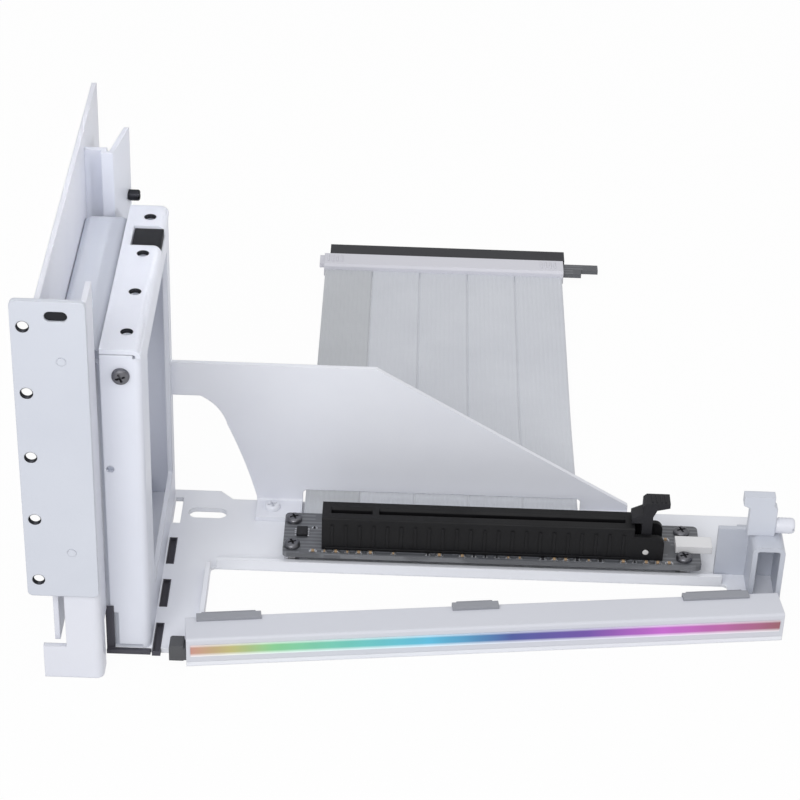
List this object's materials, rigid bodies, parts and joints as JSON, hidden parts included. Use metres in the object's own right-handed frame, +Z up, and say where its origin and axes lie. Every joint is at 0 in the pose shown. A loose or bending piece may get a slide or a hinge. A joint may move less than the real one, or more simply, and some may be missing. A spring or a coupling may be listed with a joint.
{
  "type": "vertical graphics card mount",
  "caption": "Folded sheet-metal mount that holds a graphics card upright in a computer case, with a card slot, flat riser cable, rear plate, back brace and slanted light bar.",
  "frame": {"origin": "on the underside of the base frame, in the plane of the card frame's outer wall and midway along the four bracket slots", "axes": "+X along the card slot away from the rear plate, +Y away from the light bar towards the riser cable's plug, +Z up out of the slot"},
  "size_m": [0.216, 0.2372, 0.1245],
  "materials": {
    "white_paint": "satin",
    "screw_steel": "satin",
    "black_plastic": "matt",
    "board_laminate": "satin",
    "contact_gold": "polished",
    "ribbon_sheath": "satin",
    "plug_plastic": "satin",
    "bar_plastic": "satin",
    "clip_plastic": "matt",
    "diffuser_plastic": "frosted",
    "led_package": "gloss",
    "black_rubber": "matt",
    "white_plastic": "satin",
    "steel_pin": "satin"
  },
  "bodies": {
    "mount": {"back_brace": "white_paint", "bar_clips": "clip_plastic", "bar_plug": "black_plastic", "base_frame": "white_paint", "board_connector": "white_plastic", "board_screws": "screw_steel", "board_standoffs": "screw_steel", "brace_screws": "screw_steel", "cable_clamp": "black_plastic", "card_frame": "white_paint", "carriage": "white_paint", "carriage_rivets": "screw_steel", "end_bracket": "white_paint", "end_screws": "screw_steel", "far_post": "white_paint", "finger_cap": "black_plastic", "frame_screw": "screw_steel", "frame_thumb_screw": "screw_steel", "latch_pin": "steel_pin", "led_board": "board_laminate", "led_row": "led_package", "light_bar_housing": "bar_plastic", "light_diffuser": "diffuser_plastic", "lip_rivets": "white_paint", "lip_slot_liner": "black_rubber", "plug_board": "board_laminate", "plug_cover_lower": "plug_plastic", "plug_cover_upper": "plug_plastic", "plug_fingers": "contact_gold", "rear_plate": "white_paint", "ribbon_strand_1": "ribbon_sheath", "ribbon_strand_2": "ribbon_sheath", "ribbon_strand_3": "ribbon_sheath", "ribbon_strand_4": "ribbon_sheath", "ribbon_strand_5": "ribbon_sheath", "riser_board": "board_laminate", "screw_lip": "white_paint", "slot_body": "black_plastic", "slot_contacts": "contact_gold", "slot_linings": "black_rubber", "support_post": "white_paint", "support_screw": "screw_steel"},
    "latch": {"card_latch": "black_plastic"}
  },
  "joints": [
    {"name": "latch_hinge", "type": "hinge", "parent": "mount", "child": "latch", "pos_m": [0.1422, 0.0099, 0.0105], "axis": [0, 1, 0], "range_deg": [0, 25]}
  ]
}
